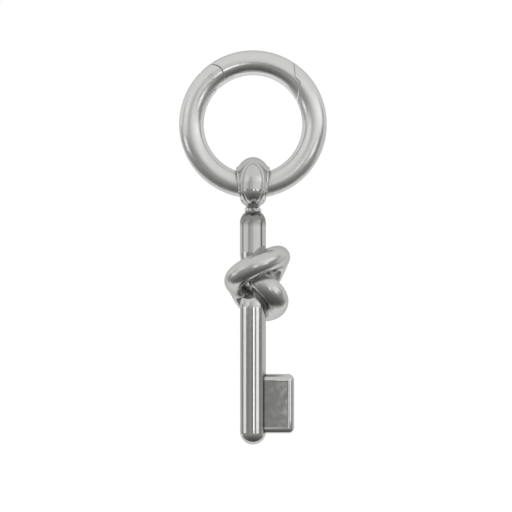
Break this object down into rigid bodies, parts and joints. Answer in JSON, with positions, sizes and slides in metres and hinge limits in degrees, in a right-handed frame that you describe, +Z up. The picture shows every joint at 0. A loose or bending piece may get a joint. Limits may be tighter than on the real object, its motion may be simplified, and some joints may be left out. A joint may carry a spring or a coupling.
{
  "type": "decorative knotted key on a gate ring",
  "caption": "Polished rod key with an overhand knot in its shank, a flat flag bit and a looped eye, hanging from a thick round ring with a sprung gate",
  "frame": {"origin": "centre of the ring's opening, on the centre line of its wire", "axes": "+Z up along the hanging key, +X to the side of the bit, +Y through the ring"},
  "size_m": [0.0284, 0.0146, 0.0757],
  "materials": {
    "polished_silver": "polished",
    "solder_silver": "hand polished",
    "rivet_steel": "polished",
    "spring_steel": "drawn wire"
  },
  "bodies": {
    "ring": {"ring_body": "polished_silver", "gate_rivet": "rivet_steel", "gate_spring": "spring_steel"},
    "gate": {"ring_gate": "polished_silver"},
    "key": {"knotted_shank": "polished_silver", "bit": "polished_silver", "eye": "polished_silver", "neck_bead": "solder_silver"}
  },
  "joints": [
    {"name": "gate_hinge", "type": "hinge", "parent": "ring", "child": "gate", "pos_m": [-0.00792, 0, 0.00879], "axis": [0, 1, 0], "range_deg": [0, 30], "stiffness_Nm_per_rad": 0.002, "springref_deg": -28.65},
    {"name": "key_swing", "type": "hinge", "parent": "ring", "child": "key", "pos_m": [0, 0, -0.01183], "axis": [1, 0, 0], "range_deg": [-135, 135]}
  ]
}
